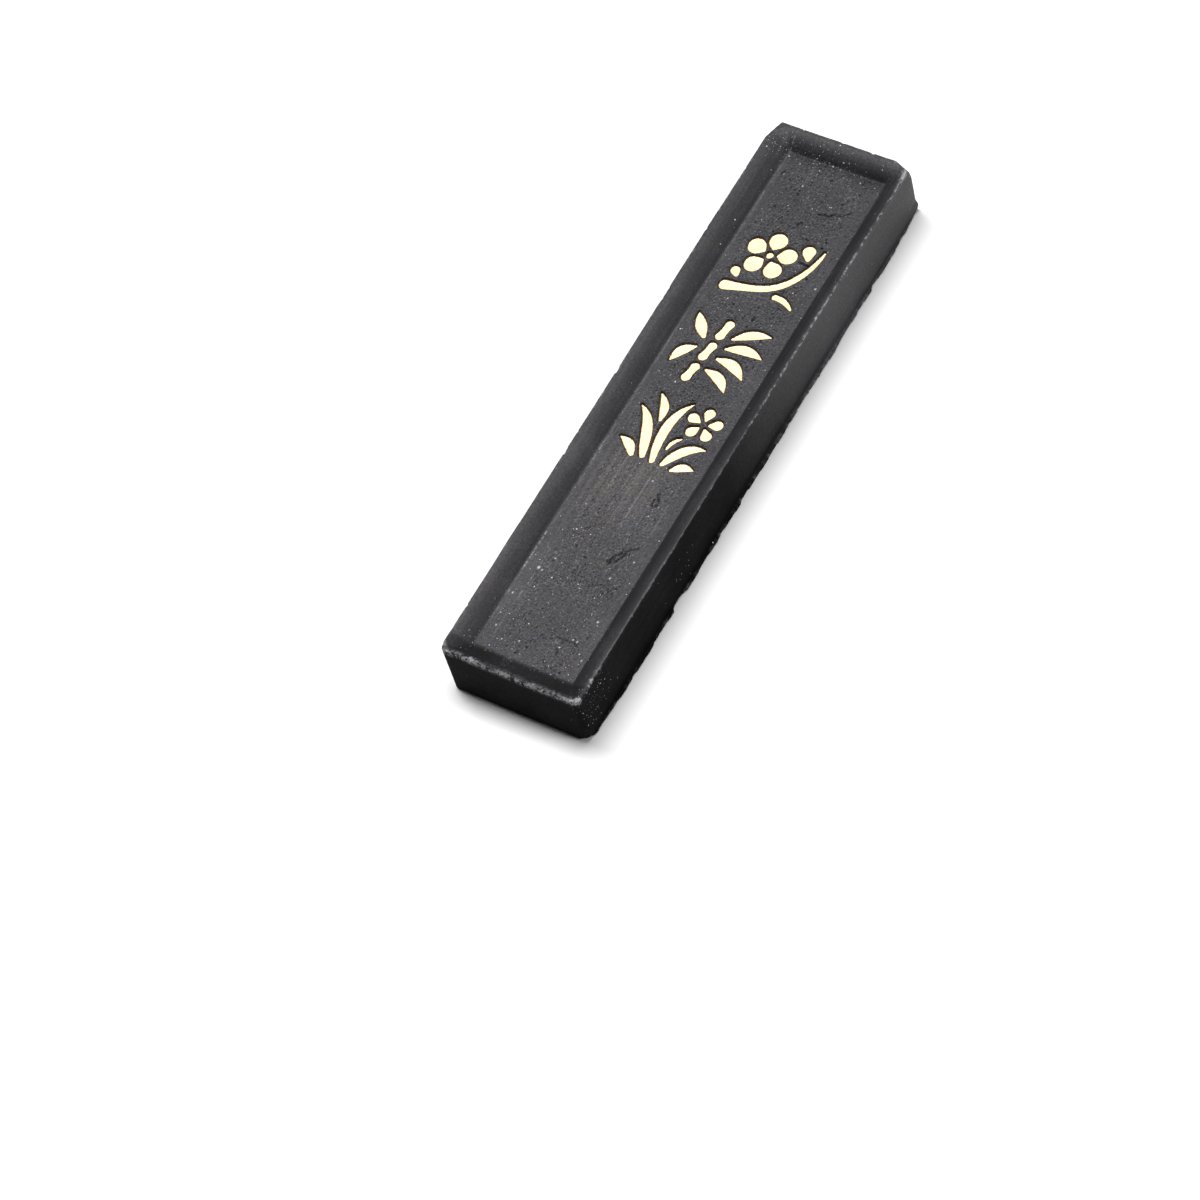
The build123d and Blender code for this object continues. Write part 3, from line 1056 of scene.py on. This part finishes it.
def ink_material():
    """Dry soot-and-glue ink: matt black, granular, streaked along its length, paler where worn, darkened
    by painted shade and lit by a painted highlight on the far right rim.
    """
    n = Nodes("dry_ink")
    granular = n.attribute("granular")
    handled = n.attribute("handled")
    shaded_pits = n.attribute("shaded_pits")
    crumb = n.attribute("crumb")
    painted_shade = n.attribute("painted_shade")
    patches = n.noise(140, detail=3)
    mottle = n.math("MULTIPLY_ADD", n.noise(420, detail=3), 3.0, -1.1)
    warm = n.math("MULTIPLY_ADD", handled, 1.7, -0.7, clamp=True)
    mottle = n.math("MULTIPLY_ADD", warm, 0.35, mottle, clamp=True)
    streaks = n.noise(1800, detail=3, stretch=(1, 0.025, 1))
    grain = n.noise(3600, detail=3, roughness=0.75)
    coarse_grain = n.noise(2300, detail=3, roughness=0.7)

    # The tone of the skin with its painted shade, then what is rubbed brown, worn pale (on the far right
    # rim also a painted highlight) and dusty on it
    tone = n.math("MULTIPLY_ADD", streaks, 0.25, n.math("MULTIPLY", patches, 0.3))
    roughened = n.math("MULTIPLY_ADD", granular, 0.7, 0.3)
    tone = n.math("MULTIPLY_ADD", n.math("SUBTRACT", grain, 0.5), n.math("MULTIPLY", roughened, 0.5), tone)
    tone = n.math("ADD", tone, 0.225)
    tone = n.math("MULTIPLY_ADD", crumb, 0.26, tone)
    # Painted shade darkens the pits and creases.
    tone = n.math("MULTIPLY_ADD", shaded_pits, -0.2, tone)
    # Painted shade darkens the near end, the right side's near half and the end feet.
    tone = n.math("MULTIPLY_ADD", painted_shade, -0.12, tone)
    base = n.ramp(tone, (0.3, DEEP_BLACK), (0.5, INK_BLACK), (0.72, INK_GREY))
    rubbed = n.math("MULTIPLY", warm, n.math("MULTIPLY_ADD", streaks, 4.5, -1.9), clamp=True)
    colour = n.mix(rubbed, base, RUBBED_BROWN)
    # Worn grey flecks, which on the far right rim also paint a highlight.
    flecks = n.math("MULTIPLY_ADD", coarse_grain, 6.0, -2.4)
    wear_and_highlight = n.math("MULTIPLY", n.attribute("wear_and_highlight"), flecks, clamp=True)
    colour = n.mix(wear_and_highlight, colour, WEAR_AND_HIGHLIGHT_GREY)
    colour = n.mix(n.attribute("stuck"), colour, GRAIN_GREY)
    n.put(n.shader.inputs["Base Color"], add_specks(n, colour))

    # Pores hold no gloss, crumbs have a little more, and hands have polished the middle.
    porous = n.math("MULTIPLY_ADD", grain, 3.0, -1.5)
    porous = n.math("MULTIPLY", porous, n.math("MULTIPLY_ADD", granular, 0.4, 0.08))
    gloss = n.math("MULTIPLY_ADD", shaded_pits, -0.42, n.math("ADD", porous, 0.5))
    gloss = n.math("MULTIPLY_ADD", crumb, 0.34, gloss)
    polish = n.math("MULTIPLY_ADD", streaks, 0.6, -0.15)
    gloss = n.math("MULTIPLY_ADD", handled, polish, gloss, clamp=True)
    # The painted shade also takes the gloss off there.
    gloss = n.math("MULTIPLY", gloss, n.math("MULTIPLY_ADD", painted_shade, -0.97, 1.0))
    n.put(n.shader.inputs["Specular IOR Level"], gloss)
    n.put(n.shader.inputs["Specular Tint"], n.mix(mottle, COOL_SHEEN, WARM_SHEEN))
    n.put(n.shader.inputs["Roughness"], n.ramp(coarse_grain, (0.3, 0.54), (0.7, 0.66)))
    height = n.math("MULTIPLY_ADD", grain, 0.8, coarse_grain)
    height = n.math("MULTIPLY", height, n.math("MULTIPLY_ADD", granular, 0.75, 0.25))
    height = n.math("MULTIPLY_ADD", streaks, n.math("MULTIPLY_ADD", handled, 0.8, 0.4), height)
    n.put(n.shader.inputs["Normal"], n.bump(height, INK_BUMP, strength=0.6))
    return n.material


def gilt_material():
    """Gold paint: pale and uneven, thin and browner at the edges of each stroke."""
    n = Nodes("gold_paint")
    cloud = n.noise(700, detail=4, roughness=0.6)
    flakes = n.noise(4200, detail=2, roughness=0.7)
    mottle = n.noise(2600, detail=3, roughness=0.6)
    edge = n.math("MULTIPLY", n.attribute("depth_in"), 7.0)
    fade = n.math("ADD", edge, n.math("MULTIPLY_ADD", mottle, 4.0, -2.1), clamp=True)
    n.put(n.shader.inputs["Base Color"], n.mix(fade, THIN_GOLD, n.mix(cloud, DEEP_GOLD, PALE_GOLD)))
    n.put(n.shader.inputs["Metallic"], 0.35)
    n.put(n.shader.inputs["Roughness"], n.ramp(flakes, (0.3, 0.36), (0.7, 0.56)))
    n.put(n.shader.inputs["Normal"], n.bump(flakes, GOLD_BUMP, strength=0.6))
    return n.material


def floor_material():
    """Plain pale paper."""
    n = Nodes("pale_floor")
    tone = n.noise(30, detail=2)
    n.put(n.shader.inputs["Base Color"], n.ramp(tone, (0.3, 0.8), (0.7, 0.82)))
    n.put(n.shader.inputs["Roughness"], 0.9)
    n.put(n.shader.inputs["Specular IOR Level"], 0.1)
    return n.material


# ---------------------------------------------------------------- floor and light

# Half the floor's width, in metres
FLOOR_REACH = 1.5
WORLD_LEVEL = 0.06


def add_floor(material):
    """A plain pale floor, just under the stick."""
    corners = FLOOR_REACH * np.array([(-1, -1, 0), (1, -1, 0), (1, 1, 0), (-1, 1, 0)]) / MM
    floor = mesh_from("floor", corners, [np.array([[0, 1, 2, 3]])])
    floor.data.materials.append(material)


def add_area_light(name, azimuth, elevation, distance, width, depth, power):
    """A soft light that faces the stick from a direction, its width along X. Sizes are in metres."""
    data = bpy.data.lights.new(name, "AREA")
    data.shape = "RECTANGLE"
    data.size = width
    data.size_y = depth
    data.energy = power
    light = bpy.data.objects.new(name, data)
    way = direction(azimuth, elevation)
    across = (Vector((1, 0, 0)) - way * way.x).normalized()
    turn = Matrix((across, way.cross(across), way)).transposed().to_4x4()
    light.matrix_world = Matrix.Translation(way * distance) @ turn
    bpy.context.scene.collection.objects.link(light)


def add_world(level):
    """An even, dim surrounding light."""
    world = bpy.data.worlds.new("studio")
    world.use_nodes = True
    background = world.node_tree.nodes["Background"]
    background.inputs["Color"].default_value = (1, 1, 1, 1)
    background.inputs["Strength"].default_value = level
    bpy.context.scene.world = world


# ---------------------------------------------------------------- the scene

add_camera()
bpy.context.scene.view_settings.view_transform = "Standard"
add_world(WORLD_LEVEL)
add_area_light("key", azimuth=232, elevation=77, distance=1.2, width=0.85, depth=0.42, power=21)
add_area_light("fill", azimuth=100, elevation=34, distance=1.3, width=0.5, depth=0.5, power=6)
add_floor(floor_material())
add_cake(ink_material())
gold = gilt_material()
for gilt_node in GILT_NODES:
    add_gilt(gilt_node, gold)
